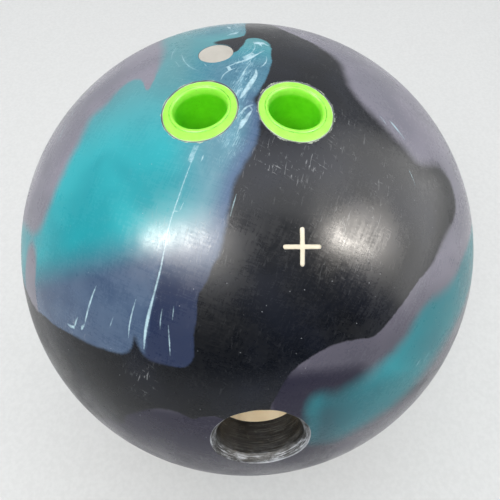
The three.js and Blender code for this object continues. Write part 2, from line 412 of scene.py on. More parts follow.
def sphere_mesh(radius, outlines, spacing, extra=()):
    """Triangles over a whole sphere, finer where spacing(rho) is less, with edges along the outlines
    and corners at the extra points. Returns (points, triangles, each outline's point numbers)."""
    fixed, edges, places = outline_points(radius, outlines, extra)
    flat = []
    for p in fixed + spiral_points(radius, outlines, fixed, spacing):
        p = p / radius
        scale = 2 / (1 + p.dot(PALM))
        flat.append(Vector((p.dot(PALM_U) * scale, p.dot(PALM_V) * scale)))
    made, _, faces, origin, _, _ = geometry.delaunay_2d_cdt(flat, edges, [], 0, 1e-9)
    index, points = {}, []
    for k, (p, came) in enumerate(zip(made, origin)):
        index.update((c, k) for c in came)
        q = p.length_squared / 4
        points.append((p.x * PALM_U + p.y * PALM_V + (1 - q) * PALM) / (1 + q) * radius)
    triangles = [tuple(f) for f in faces]
    rim_edges = {}
    for f in triangles:
        for a, b in zip(f, f[1:] + f[:1]):
            if (b, a) in rim_edges:
                del rim_edges[(b, a)]
            else:
                rim_edges[(a, b)] = True
    points.append(-PALM * radius)
    triangles += [(b, a, len(points) - 1) for a, b in rim_edges]
    return points, triangles, [[index[k] for k in place] for place in places]


def inside_outline(p, outline):
    """Is a direction inside a closed outline on the sphere? By the sum of the angles it spans."""
    ref = p.orthogonal().normalized()
    other = p.cross(ref)
    total = 0.0
    angles = [math.atan2(q.dot(other), q.dot(ref)) for q in outline]
    for a, b in zip(angles, angles[1:] + angles[:1]):
        total += (b - a + math.pi) % (2 * math.pi) - math.pi
    return abs(total) > math.pi


def split_triangles(points, triangles, outline_ids, outlines):
    """Sorts triangles into those outside every outline and, for each outline, those inside it."""
    member = {}
    for n, ids in enumerate(outline_ids):
        for i in ids:
            member[i] = n
    outside, inside = [], [[] for _ in outlines]
    for t in triangles:
        owners = {member.get(i) for i in t}
        n = owners.pop() if len(owners) == 1 else None
        if n is not None and inside_outline(sum((points[i] for i in t), Vector()).normalized(),
                                            outlines[n]):
            inside[n].append(t)
        else:
            outside.append(t)
    return outside, inside


# ------------------------------------------------------------------ hole outlines
THUMB_N, FINGER_N, PIN_N = 144, 120, 72


def wobble(angle, amount, seed, lobes=3.0):
    """A smooth periodic irregularity round a rim."""
    at = Vector((math.cos(angle) * lobes, math.sin(angle) * lobes, seed))
    return amount * noise.noise(at)


def circle(feature, r, count, radius, lift=0.0, irregular=0.0, seed=0.0):
    """A ring round a feature's axis where it meets a sphere about the ball's centre, lifted outward."""
    ring = []
    for a in turn(count):
        reach = r + (wobble(a, irregular, seed) if irregular else 0.0)
        ring.append(feature.on(reach * math.cos(a), reach * math.sin(a), radius, lift))
    return ring


def level(feature, r, count, z):
    """A flat ring round a feature's axis."""
    return [feature.at(r * math.cos(a), r * math.sin(a), z) for a in turn(count)]


def cross_outline(grow):
    """The centre mark's outline with softly rounded ends, in mm in its own frame."""
    arm, half = MARK_ARM + grow, MARK_HALF + grow
    quarter = []
    for k in range(7):
        a = math.radians(-90 + 180 * k / 6)
        quarter.append((arm - half + half * math.cos(a), half * math.sin(a)))
    run = [(arm - half - s * (arm - 2 * half) / 6, half) for s in range(1, 7)]
    back = [(half, half + s * (arm - 2 * half) / 6) for s in range(1, 6)]
    side = quarter + run + back
    full = []
    for k in range(4):
        c, s = round(math.cos(k * math.pi / 2)), round(math.sin(k * math.pi / 2))
        full += [(c * x - s * y, s * x + c * y) for x, y in side]
    return full


# ------------------------------------------------------------------ node graphs


class Graph:
    """A material's node tree around one Principled shader, with short names for its usual nodes."""

    def __init__(self, name):
        self.material = bpy.data.materials.new(name)
        self.material.use_nodes = True
        self.tree = self.material.node_tree
        self.tree.nodes.clear()
        self.shader = self.tree.nodes.new("ShaderNodeBsdfPrincipled")
        out = self.tree.nodes.new("ShaderNodeOutputMaterial")
        self.tree.links.new(self.shader.outputs["BSDF"], out.inputs["Surface"])

    def put(self, socket, value):
        if isinstance(value, bpy.types.NodeSocket):
            self.tree.links.new(value, socket)
        elif value is not None:
            socket.default_value = value

    def set(self, **values):
        for name, value in values.items():
            self.put(self.shader.inputs[name.replace("_", " ")], value)

    def math(self, operation, a, b=None, c=None, clamp=False):
        n = self.tree.nodes.new("ShaderNodeMath")
        n.operation, n.use_clamp = operation, clamp
        for socket, value in zip(n.inputs, (a, b, c)):
            self.put(socket, value)
        return n.outputs[0]

    def add(self, a, b):
        return self.math("ADD", a, b)

    def times(self, a, b):
        return self.math("MULTIPLY", a, b)

    def swing(self, noise, amount):
        """A noise made to go evenly up and down from zero."""
        return self.times(self.add(noise, -0.5), amount)

    def mix(self, factor, a, b):
        n = self.tree.nodes.new("ShaderNodeMix")
        n.data_type = "RGBA"
        self.put(n.inputs[0], factor)
        self.put(n.inputs[6], a)
        self.put(n.inputs[7], b)
        return n.outputs[2]

    def clouded(self, noise, dark, light, low=0.3, high=0.7):
        """Two colours, given as srgb() takes them, that run into each other along a noise."""
        return self.mix(self.span(noise, low, high), srgb(*dark), srgb(*light))

    def span(self, value, low, high, to_low=0.0, to_high=1.0):
        n = self.tree.nodes.new("ShaderNodeMapRange")
        n.interpolation_type = "SMOOTHSTEP"
        for socket, v in zip(n.inputs, (value, low, high, to_low, to_high)):
            self.put(socket, v)
        return n.outputs[0]

    def attribute(self, name, output="Fac"):
        n = self.tree.nodes.new("ShaderNodeAttribute")
        n.attribute_name = name
        return n.outputs[output]

    def place(self, scale=(1, 1, 1), rotation=(0, 0, 0), vector=None):
        """Object coordinates in mm, turned and then stretched."""
        if vector is None:
            vector = self.tree.nodes.new("ShaderNodeTexCoord").outputs["Object"]
            scale = [s / MM for s in scale]
        for name, value in (("Rotation", [math.radians(r) for r in rotation]), ("Scale", scale)):
            n = self.tree.nodes.new("ShaderNodeMapping")
            n.inputs[name].default_value = value
            self.tree.links.new(vector, n.inputs["Vector"])
            vector = n.outputs[0]
        return vector

    def noise(self, vector, scale, detail=3.0, roughness=0.5, distortion=0.0):
        n = self.tree.nodes.new("ShaderNodeTexNoise")
        for name, value in (("Scale", scale), ("Detail", detail), ("Roughness", roughness),
                            ("Distortion", distortion)):
            n.inputs[name].default_value = value
        self.tree.links.new(vector, n.inputs["Vector"])
        return n.outputs[0]

    def cells(self, vector, scale):
        n = self.tree.nodes.new("ShaderNodeTexVoronoi")
        n.inputs["Scale"].default_value = scale
        self.tree.links.new(vector, n.inputs["Vector"])
        return n.outputs["Distance"]

    def bump(self, height, distance, strength=1.0, under=None):
        n = self.tree.nodes.new("ShaderNodeBump")
        n.inputs["Distance"].default_value = distance * MM
        n.inputs["Strength"].default_value = strength
        self.put(n.inputs["Height"], height)
        self.put(n.inputs["Normal"], under)
        return n.outputs[0]


def srgb(r, g, b):
    """A colour given as 0 to 255 on screen, as the shader wants it."""
    linear = [c / 255 / 12.92 if c < 10.3 else ((c / 255 + 0.055) / 1.055) ** 2.4 for c in (r, g, b)]
    return (*linear, 1.0)


def cover_material():
    g = Graph("cover_marbled_resin")
    mm = g.place()
    swirl = g.noise(mm, 0.11, 3, 0.55, 0.6)
    feather = g.noise(mm, 0.9, 4, 0.6)
    cloud = g.noise(mm, 0.035, 2, 0.5, 0.4)
    wander = g.add(g.swing(swirl, 2.4), g.swing(feather, 0.8))

    def region(name, softness):
        blur = g.attribute(softness)
        return g.span(g.add(g.attribute(name), wander), g.times(blur, -1), blur)

    black, teal = region("black", "black_blur"), region("teal", "teal_blur")
    slate, veil, purple_and_shade = g.attribute("slate"), g.attribute("veil"), g.attribute("purple_and_shade")

    lilac = g.clouded(cloud, (118, 116, 127), (134, 130, 142), 0.35, 0.65)
    # the lilac turns purple toward the thumb: partly its own tone, partly painted shade
    lilac = g.mix(purple_and_shade, lilac, srgb(30, 28, 46))
    green = g.clouded(cloud, (30, 142, 152), (44, 164, 172))
    # the teal darkens toward the thumb and the lower right: partly its own tone, partly painted shade
    green = g.mix(g.attribute("deep_and_shade"), green, srgb(26, 62, 74))
    # the teal greys toward its top and the left limb: painted reflection
    green = g.mix(g.attribute("reflection_grey"), green, srgb(104, 132, 138))
    steel = g.clouded(swirl, (58, 108, 130), (76, 124, 142))
    ash = g.clouded(swirl, (78, 126, 142), (96, 138, 152))
    near = g.span(g.add(g.attribute("black"), g.times(wander, 0.7)), -8.0, -0.5)
    ash = g.mix(near, ash, srgb(68, 92, 122))
    ash = g.mix(g.attribute("high"), ash, steel)
    green = g.mix(veil, green, ash)
    navy = g.clouded(swirl, (64, 82, 108), (78, 96, 120))
    navy = g.mix(g.attribute("violet"), navy, srgb(38, 48, 74))
    green = g.mix(slate, green, navy)
    colour = g.mix(teal, lilac, green)
    ink = g.clouded(cloud, (3, 6, 13), (16, 20, 30), 0.35)
    colour = g.mix(black, colour, ink)

    # pale resin drawn out into lines, and a film of it in the vein beside the black
    fray = g.noise(mm, 1.3, 4, 0.7)
    line = g.span(g.add(g.attribute("streak"), g.swing(fray, 0.5)), -0.1, 0.35)
    solid = g.span(g.noise(mm, 0.3, 3, 0.6), 0.3, 0.6, 0.35, 0.85)
    film = g.span(g.add(g.attribute("film"), g.swing(g.noise(mm, 0.4, 5, 0.7, 1.2), 1.7)), 0.5, 1.3)
    fibre = g.noise(g.place((1.5, 0.12, 0.5), (0, 0, 22)), 1.0, 3, 0.55, 0.6)
    fibre = g.span(g.math("ABSOLUTE", g.add(fibre, -0.5)), 0.008, 0.035, 1.0, 0.0)
    fibre = g.times(g.times(fibre, g.attribute("film")), g.span(g.noise(mm, 0.25, 2), 0.35, 0.55))
    colour = g.mix(g.times(fibre, 0.7), colour, srgb(170, 206, 216))
    colour = g.mix(g.times(film, 0.3), colour, srgb(132, 180, 198))
    colour = g.mix(g.times(line, solid), colour, srgb(184, 214, 222))
    wisp = g.noise(mm, 0.045, 3, 0.6, 1.5)
    ridge = g.math("ABSOLUTE", g.add(wisp, -0.5))
    thin = g.span(ridge, 0.0, 0.006, 1.0, 0.0)
    where = g.times(g.attribute("back"), g.span(g.noise(mm, 0.03, 1), 0.5, 0.6))
    colour = g.mix(g.times(g.times(thin, where), 0.3), colour, srgb(160, 196, 206))

    # pale specks, and short scratches where it has been knocked
    dots = g.cells(mm, 0.5)
    sown = g.noise(mm, 0.21, 1)
    speck = g.times(g.span(dots, 0.05, 0.12, 1.0, 0.0), g.span(sown, 0.58, 0.66))
    colour = g.mix(g.times(speck, 0.45), colour, srgb(190, 194, 198))
    scuff = g.attribute("scuff")
    hair = g.noise(g.place((1.5, 0.22, 0.4), (-33, 0, 14)), 1.0, 3, 0.6, 0.4)
    hair_b = g.noise(g.place((0.3, 1.6, 0.4), (-20, 10, 35)), 1.0, 3, 0.6, 0.4)
    knock = g.span(g.noise(mm, 0.16, 2, 0.5), 0.42, 0.6)
    nick = g.math("MAXIMUM", g.span(hair, 0.6, 0.66), g.times(g.span(hair_b, 0.62, 0.68), 0.7))
    nick = g.times(nick, knock)
    colour = g.mix(g.times(g.times(nick, scuff), 0.6), colour, srgb(158, 160, 162))

    # adhesive smeared round the finger holes
    smear = g.noise(mm, 0.3, 4, 0.65)
    edge = g.add(g.attribute("rim"), g.swing(smear, -3.0))
    glue = g.span(edge, 0.15, 0.5, 1.0, 0.0)
    colour = g.mix(g.times(glue, 0.75), colour, srgb(190, 200, 176))

    scratch = g.noise(g.place((0.05, 1.3, 1.3), (-33, 12, 20)), 1.0, 5, 0.7)
    scratch_b = g.noise(g.place((1.3, 0.06, 1.3), (-28, -10, 24)), 1.0, 5, 0.7)
    brushed = g.add(g.times(scratch, 0.5), g.times(scratch_b, 0.5))
    worn = g.noise(mm, 0.05, 3, 0.6)
    rough = g.add(g.span(brushed, 0.35, 0.65, 0.2, 0.33), g.span(worn, 0.35, 0.65, -0.04, 0.07))
    rough = g.add(rough, g.times(scuff, 0.06))
    normal = g.bump(brushed, 0.05, 0.5)
    normal = g.bump(g.times(nick, g.add(scuff, 0.1)), -0.02, 0.5, normal)
    g.set(Base_Color=colour, Roughness=rough, Normal=normal, IOR=1.42, Specular_IOR_Level=0.3)
    return g.material


def thumb_wall_material():
    """Charcoal resin as the drill left it: rings, light scratches, a scuffed white bevel."""
    g = Graph("cover_drilled_wall")
    local = g.attribute("local", "Vector")
    rings = g.noise(g.place((0.09, 0.09, 3.4), vector=local), 1.0, 6, 0.8)
    chatter = g.noise(g.place((0.5, 0.5, 0.9), vector=local), 1.0, 3, 0.6)
    wall = g.clouded(rings, (4, 4, 4), (72, 72, 69), 0.47, 0.66)
    wall = g.mix(g.times(g.span(chatter, 0.62, 0.74), 0.25), wall, srgb(120, 118, 112))
    strokes = g.noise(g.place((0.11, 0.11, 3.6), vector=local), 1.0, 5, 0.8)
    patch = g.noise(g.place((0.16, 0.16, 0.3), vector=local), 1.0, 3, 0.6)
    bevel = g.attribute("bevel")
    white = g.span(g.add(strokes, g.swing(patch, 0.6)), 0.49, 0.62)
    lip = g.times(g.attribute("lip"), g.span(patch, 0.4, 0.55))
    white = g.math("MAXIMUM", g.times(white, bevel), lip)
    colour = g.mix(g.times(white, 0.9), wall, srgb(178, 181, 186))
    rough = g.span(strokes, 0.3, 0.7, 0.36, 0.6)
    normal = g.bump(rings, 0.16, 0.8)
    normal = g.bump(strokes, 0.1, 0.7, normal)
    g.set(Base_Color=colour, Roughness=rough, Normal=normal, IOR=1.45, Specular_IOR_Level=0.4)
    return g.material


def resin_material(name, dark, light, roughness, grain=0.6, pits=0.05):
    """Matt cast material with soft clouding, fine grain and pores."""
    g = Graph(name)
    mm = g.place()
    cloud = g.noise(mm, 0.08, 4, 0.6, 0.3)
    fine = g.noise(mm, grain, 5, 0.65)
    pore = g.span(g.cells(mm, 0.9), 0.05, 0.16)
    colour = g.mix(g.span(cloud, 0.3, 0.7), dark, light)
    colour = g.mix(g.times(g.span(fine, 0.45, 0.75), 0.25), colour, light)
    colour = g.mix(g.math("SUBTRACT", 0.25, g.times(pore, 0.25)), colour, dark)
    normal = g.bump(fine, pits, 0.5)
    normal = g.bump(pore, pits * 0.6, 0.4, normal)
    g.set(Base_Color=colour, Roughness=g.span(fine, 0.3, 0.7, roughness - 0.07, roughness + 0.07),
          Normal=normal, IOR=1.45, Specular_IOR_Level=0.35)
    return g.material


def insert_material():
    """Soft lime vinyl: satin skin, faint handling marks, grime in the groove, and painted shade that
    darkens the green into the bore.
    """
    g = Graph("insert_soft_vinyl")
    mm = g.place()
    cloud = g.noise(mm, 0.25, 3, 0.6)
    skin = g.noise(mm, 3.5, 4, 0.6)
    lip = g.clouded(cloud, (148, 238, 62), (160, 244, 78))
    # darker green for deep in the bore: painted shade
    deep_and_shade = g.clouded(cloud, (100, 214, 14), (112, 224, 22))
    colour = g.mix(g.attribute("depth"), lip, deep_and_shade)
    dirt = g.span(g.noise(mm, 0.35, 4, 0.65), 0.4, 0.6)
    colour = g.mix(g.times(g.attribute("groove"), g.span(dirt, 0, 1, 0.3, 0.85)), colour,
                   srgb(88, 160, 26))
    grime = g.times(g.span(g.noise(mm, 0.7, 5, 0.7), 0.56, 0.74), 0.16)
    colour = g.mix(grime, colour, srgb(92, 150, 40))
    spot = g.times(g.span(g.cells(mm, 0.6), 0.05, 0.12, 1.0, 0.0), 0.5)
    colour = g.mix(spot, colour, srgb(80, 120, 30))
    normal = g.bump(skin, 0.02, 0.5)
    normal = g.bump(cloud, 0.12, 0.25, normal)
    g.set(Base_Color=colour, Roughness=g.span(skin, 0.3, 0.7, 0.36, 0.48), Normal=normal,
          IOR=1.45, Specular_IOR_Level=0.4)
    return g.material


COVER = cover_material()
WALL = thumb_wall_material()
HIDDEN = resin_material("cover_inner_face", srgb(60, 64, 78), srgb(84, 88, 100), 0.6)
FILLER = resin_material("filler_cream", srgb(234, 214, 178), srgb(246, 230, 198), 0.72, 0.8, 0.08)
BLOCK = resin_material("weight_block_resin", srgb(120, 78, 50), srgb(150, 100, 68), 0.66, 0.5, 0.1)
PIN_SKIN = resin_material("locator_pin_resin", srgb(170, 165, 155), srgb(188, 183, 173), 0.42, 1.6, 0.03)
GLUE = resin_material("adhesive", srgb(168, 180, 140), srgb(206, 214, 186), 0.6, 2.0, 0.08)
PAINT = resin_material("mark_paint", srgb(216, 205, 180), srgb(236, 228, 208), 0.6, 3.0, 0.06)
VINYL = insert_material()

# ------------------------------------------------------------------ cover
SKIN, WALLS, INSIDE, EDGE, RECESS = range(5)  # shading groups
BEVEL_OUT = THUMB_R + THUMB_BEVEL
# the bevel and its soft inner corner: share of the way in, depth in bevel widths
BEVEL_SHAPE = ((0.25, 0.16), (0.5, 0.4), (0.75, 0.7), (0.95, 0.97), (1.0, 1.15))


def front_spacing(rho):
    """Millimetres between the mesh's points, rho degrees from the middle of the palm."""
    return 1.3 + 1.1 * float(smooth(np.array(rho), 68.0, 88.0))


def coarse_spacing(rho):
    """The same for the hidden spheres, which are even all over."""
    return 3.4


COVER_HOLES = [
    circle(THUMB, BEVEL_OUT, THUMB_N, BALL_R, irregular=0.35, seed=1.7),
    circle(LEFT, FINGER_R + FINGER_EDGE, FINGER_N, BALL_R, irregular=0.1, seed=4.1),
    circle(RIGHT, FINGER_R + FINGER_EDGE, FINGER_N, BALL_R, irregular=0.1, seed=7.3),
    circle(PIN, PIN_R + PIN_EDGE, PIN_N, BALL_R),
    [MARK.on(x, y, BALL_R) for x, y in cross_outline(MARK_PLAY)],
]


def inner_circles(radius, pin_play):
    """Where the drilled holes and the pin's hole cross a sphere inside the ball."""
    return [circle(THUMB, THUMB_R, THUMB_N, radius), circle(LEFT, FINGER_R, FINGER_N, radius),
            circle(RIGHT, FINGER_R, FINGER_N, radius), circle(PIN, PIN_R + pin_play, PIN_N, radius)]


def streak_line(points):
    """Points along a streak, about a millimetre apart, on the chart."""
    smoothed = rounded(points, closed=False, times=3)
    steps = np.hypot(*np.diff(smoothed, axis=0).T)
    along = np.concatenate([[0], np.cumsum(steps)])
    count = max(4, int(along[-1] * MM_PER_DEGREE / 0.9))
    at = np.linspace(0, along[-1], count)
    return np.stack([np.interp(at, along, smoothed[:, k]) for k in (0, 1)], 1)


streaks = [(width, streak_line(points)) for width, *points in STREAKS]


def between(ring_a, ring_b, count):
    """count rings evenly between two rings, without either."""
    return [[a.lerp(b, (k + 1) / (count + 1)) for a, b in zip(ring_a, ring_b)] for k in range(count)]


def bevel_ring(share, drop):
    """One ring of the thumb hole's hand-cut bevel, which keeps some of its rim's unevenness."""
    ring = []
    for a, (x, y, z) in zip(turn(THUMB_N), THUMB.local(np.array(COVER_HOLES[0])).tolist()):
        r = math.hypot(x, y)
        r += (THUMB_R - r) * share
        ring.append(THUMB.at(r * math.cos(a), r * math.sin(a), z - THUMB_BEVEL * drop))
    return ring


def cover_piece():
    points, triangles, loops = sphere_mesh(
        BALL_R, COVER_HOLES, front_spacing, [from_chart(u, v) for _, line in streaks for u, v in line])
    outside, inside = split_triangles(points, triangles, loops, COVER_HOLES)
    ends = inner_circles(INTERFACE_R, PIN_PLAY)
    inner_points, inner_triangles, inner_loops = sphere_mesh(INTERFACE_R, ends, coarse_spacing)
    inner_outside, _ = split_triangles(inner_points, inner_triangles, inner_loops, ends)

    m = Mesher()
    skin, inner = m.add(points), m.add(inner_points)
    for t in outside:
        m.face([skin[i] for i in t], 0, SKIN)
    for t in inner_outside:
        m.face([inner[i] for i in t], 2, INSIDE)
    mouths = [[skin[i] for i in loop] for loop in loops]
    feet = [[inner[i] for i in loop] for loop in inner_loops]

    bevel = [bevel_ring(share, drop) for share, drop in BEVEL_SHAPE]
    top = m.loft([mouths[0], *bevel], 1, EDGE)[-1]
    m.loft([top, *between(bevel[-1], ends[0], 9), feet[0]], 1, WALLS)
    for n, feature in ((1, LEFT), (2, RIGHT)):
        soft = circle(feature, FINGER_R + 0.08, FINGER_N, BALL_R, -0.07)
        start = circle(feature, FINGER_R, FINGER_N, BALL_R, -0.3)
        m.loft([mouths[n], soft, start, *between(start, ends[n], 3), feet[n]], 2, WALLS)
    soft = circle(PIN, PIN_R + PIN_PLAY, PIN_N, BALL_R, -0.1)
    m.loft([mouths[3], soft, *between(soft, ends[3], 3), feet[3]], 2, WALLS)

    # recess of the centre mark: the triangles inside its outline, let down into the cover
    low = m.add([points[i] * (1 - MARK_DEPTH / BALL_R) for i in loops[4]])
    lowered = dict(zip(loops[4], low))
    m.strip(mouths[4], low, 2, RECESS)
    for t in inside[4]:
        m.face([lowered[i] for i in t], 2, RECESS)
    return m.build("cover_shell", "coverstock", [COVER, WALL, HIDDEN], radial=(SKIN, INSIDE))


def set_attribute(mesh, name, values, kind="FLOAT"):
    layer = mesh.attributes.new(name, kind, "POINT")
    layer.data.foreach_set("value" if kind == "FLOAT" else "vector", np.asarray(values, float).ravel())


def far_side(unit, back):
    """Three flowing fields for the marbling of the far side, where back is above zero."""
    noise.seed_set(FAR_SEED)
    fields = np.zeros((len(unit), 3))
    for k in np.flatnonzero(back > 0):
        p = Vector(unit[k])
        bend = noise.noise_vector(p * 1.2 + Vector((3.1, 0.4, 7.7)))
        curl = noise.noise_vector(p * 2.6 + bend * 1.5 + Vector((8.3, 5.2, 1.9)))
        q = p * 1.2 + bend * 1.5 + curl * 0.45
        fields[k] = [noise.noise(q + Vector((s, 2.0 * s, -s))) for s in (1.3, 9.1, 17.7)]
    return fields.T


def streak_height(uv):
    """Millimetres inside the nearest streak. A streak narrows toward both ends."""
    height = np.full(len(uv), -9.0)
    for width, line in streaks:
        near = np.flatnonzero((np.abs(uv - line.mean(0)) < np.ptp(line, axis=0) / 2 + 3).all(1))
        best, share = np.full(len(near), 1e9), np.zeros(len(near))
        for k in range(len(line) - 1):
            d, t = segment_distance(uv[near], line[k], line[k + 1])
            closer = d < best
            best[closer] = d[closer]
            share[closer] = (k + t[closer]) / (len(line) - 1)
        half = width / 2 * np.sqrt(np.sin(np.pi * np.clip(share, 0.02, 0.98)))
        height[near] = np.maximum(height[near], half - best * MM_PER_DEGREE)
    return height


def bell(x):
    return np.exp(-x**2)


def paint_cover(mesh):
    """The marbling and wear, with some painted shade and painted reflection, as plain numbers on the
    points, which the shader reads.
    """
    co = column(mesh.vertices, "co", 3) / MM
    uv = chart(co)
    u, v = uv.T
    rho = np.hypot(u, v)
    back = smooth(rho, 60, 82)
    front = 1 - back
    far_black, far_teal, far_tint = far_side(co / np.linalg.norm(co, axis=1)[:, None], back)
    most = np.maximum

    def right(low, high):
        return smooth(u, low, high)

    def left(low, high):
        return smooth(-u, low, high)

    def up(low, high):
        return smooth(v, low, high)

    def down(low, high):
        return smooth(-v, low, high)

    teal = np.minimum(signed_distance(uv, TEAL_LEFT), -signed_distance(uv, TEAL_INLET))
    teal = most(teal, signed_distance(uv, TEAL_RIGHT)) * front + (far_teal + 0.06) * 60 * back
    black = signed_distance(uv, BLACK) * front + (far_black + 0.04) * 60 * back

    # half width of the borders: soft low down and high up on the right, at the teal's left, crisp
    # elsewhere
    blur = 0.4 + 2.2 * right(12, 20) * down(18, 26)
    blur += 2.4 * right(34, 44) * down(-12, 2)
    blur += 3.2 * left(24, 32) * up(-6, 2)
    blur += 2.2 * left(12, 18) * (1 - left(24, 32)) * up(34, 42)
    blur += 2.4 * right(14, 20) * up(14, 20)
    blur += 0.5 * left(8, 20) * down(8, 14) + 1.4 * right(28, 36) * up(4, 12)
    blur += 0.8 * left(-5, -2) * (1 - left(7, 11)) * up(-6, 2) * down(-32, -26)
    blur += 0.7 * left(2, 4) * up(40, 44) * (1 - up(52, 56))
    blur = blur * front + (0.6 + 3.4 * smooth(far_tint, -0.25, 0.3)) * back
    soft = blur + 3.6 * right(6, 12) * down(4, 16) * front

    # teal turns to slate toward the thumb, to blue beside the black, and to violet past the streak
    fade_at = -4 + 0.24 * (u + 40)
    slate = smooth(fade_at - v, -5.0, 4.5) * front + smooth(far_tint, -0.1, 0.2) * back
    slate *= 1 - right(4, 10) * front
    violet = smooth(u - (-14 + 0.27 * v), -0.3, 0.3) * down(-2, 7) * front
    veil = right(-15, -5) * down(-47, -36) * (1 - right(6, 10))
    veil = most(veil, 0.6 * right(-17, -8) * up(47, 54)) * front
    film = bell((u - (-1.2 + 0.16 * (v - 30))) / 2.2) * up(12, 20) * down(-46, -38)
    film = most(film, bell((u + 2.8) / 1.9) * up(49, 52) * 0.8)

    # the lilac darkens toward the thumb and the teal does too, partly their own tone and partly painted
    # shade; the teal greys toward its top and left, a painted reflection
    purple_and_shade = most(down(27, 33), 0.62 * down(-4, 20) * right(4, 12))
    purple_and_shade = most(purple_and_shade, down(16, 24) * right(2, 5) * (1 - right(20, 30)))
    purple_and_shade *= (1 - right(16, 26) * 0.35 * down(30, 40)) * front
    purple_and_shade = most(purple_and_shade, smooth(far_tint + 0.05, 0.0, 0.3) * back * 0.8)
    deep_and_shade = 0.6 * right(8, 16) * down(20, 30) + 0.35 * (1 - right(14, 26)) * down(24, 34)
    deep_and_shade = most(deep_and_shade, 0.55 * right(22, 40) * down(-20, 0)) * front
    # painted reflection: the teal greys toward its top and the left limb
    reflection_grey = most(0.6 * up(16, 38) * left(5, 14), 0.5 * up(38, 46))
    reflection_grey = most(reflection_grey, 0.35 * smooth(rho, 48, 60) * left(20, 40)) * front

    scuff = 0.06 + 0.1 * back
    for cu, cv, r, strength in SCUFFS:
        scuff = most(scuff, strength * bell(np.hypot(u - cu, v - cv) / r))
    rim = np.full(len(co), 9.0)
    for feature in (LEFT, RIGHT):
        x, y, _ = feature.local(co).T
        rim = np.minimum(rim, np.abs(np.hypot(x, y) - FINGER_R))

    # the thumb hole's bevel, its outer lip, and coordinates that run down the bevel and the wall
    local = THUMB.local(co)
    r = np.hypot(local[:, 0], local[:, 1])
    bevel = most(smooth(r, THUMB_R - 0.05, THUMB_R + 0.5), 0.35 * smooth(local[:, 2], -8, -2.5))
    lip = smooth(r, BEVEL_OUT - 0.5, BEVEL_OUT - 0.1)
    local[:, 2] += 1.5 * most(r - THUMB_R, 0)

    layers = {
        "black": black, "teal": teal, "black_blur": blur, "teal_blur": soft, "slate": slate,
        "veil": veil, "high": up(24, 34), "violet": violet, "purple_and_shade": purple_and_shade, "deep_and_shade": deep_and_shade,
        "reflection_grey": reflection_grey, "film": film, "streak": streak_height(uv), "scuff": scuff, "rim": rim,
        "back": back, "bevel": bevel, "lip": lip,
    }
    for name, values in layers.items():
        set_attribute(mesh, name, values)
    set_attribute(mesh, "local", local, "FLOAT_VECTOR")


cover = cover_piece()
paint_cover(cover.data)

# ------------------------------------------------------------------ filler, weight block and pin
FILLER_R = INTERFACE_R - SEAM


def blind_hole(m, feature, mouth, outline, r, depth, count):
    """Drilled wall, a small fillet left by the cutter, and a flat floor."""
    start = level(feature, r, count, FLOOR_FILLET - depth)
    fillet = [level(feature, r - FLOOR_FILLET * (1 - math.cos(a)), count,
                    FLOOR_FILLET * (1 - math.sin(a)) - depth)
              for a in (math.pi / 8, math.pi / 4, math.pi * 3 / 8, math.pi / 2)]
    rings = m.loft([mouth, *between(outline, start, 8), start, *fillet], 0, WALLS)
    rest = [level(feature, (r - FLOOR_FILLET) * s, count, -depth) for s in (0.75, 0.5, 0.25)]
    rings = m.loft([rings[-1], *rest], 0, EDGE)
    m.cap(rings[-1], feature.at(0, 0, -depth), 0, EDGE)


def block_rings(grow, first, count=PIN_N):
    """Rings down the block's soft outline, from a radius on the top face to one on the bottom."""
    path = [(first, BLOCK_TOP + grow), (TOP_FLAT, BLOCK_TOP + grow)]
    path += [(r + grow, z) for r, z in reversed(BLOCK_OUTLINE)]
    path += [(BOTTOM_FLAT, BLOCK_BOTTOM - grow), (first, BLOCK_BOTTOM - grow)]
    return [[PIN.z * z + r * (math.cos(a) * PIN.x + math.sin(a) * PIN.y) for a in turn(count)]
            for r, z in rounded(path, closed=False, times=2).tolist()]


def filler_piece():
    holes = inner_circles(FILLER_R, 2 * PIN_PLAY)
    points, triangles, loops = sphere_mesh(FILLER_R, holes, coarse_spacing)
    outside, _ = split_triangles(points, triangles, loops, holes)
    m = Mesher()
    skin = m.add(points)
    for t in outside:
        m.face([skin[i] for i in t], 0, SKIN)
    mouths = [[skin[i] for i in loop] for loop in loops]
    blind_hole(m, THUMB, mouths[0], holes[0], THUMB_R, THUMB_DEPTH, THUMB_N)
    blind_hole(m, LEFT, mouths[1], holes[1], FINGER_R, FINGER_DEPTH, FINGER_N)
    blind_hole(m, RIGHT, mouths[2], holes[2], FINGER_R, FINGER_DEPTH, FINGER_N)
    cavity = block_rings(BLOCK_PLAY, PIN_R + 2 * PIN_PLAY)
    rings = m.loft([mouths[3], *between(holes[3], cavity[0], 3), cavity[0]], 0, WALLS)
    rings = m.loft([rings[-1], *cavity[1:]], 0, INSIDE)
    m.cap(rings[-1], PIN.z * (BLOCK_BOTTOM - BLOCK_PLAY), 0, INSIDE)
    return m.build("filler_core", "outer_core", [FILLER], radial=(SKIN,))


def block_piece():
    m = Mesher()
    rings = m.loft(block_rings(0, 4.0, 96))
    m.cap(rings[0], PIN.z * BLOCK_TOP)
    m.cap(rings[-1], PIN.z * BLOCK_BOTTOM)
    return m.build("inner_weight_block", "weight_block", [BLOCK])


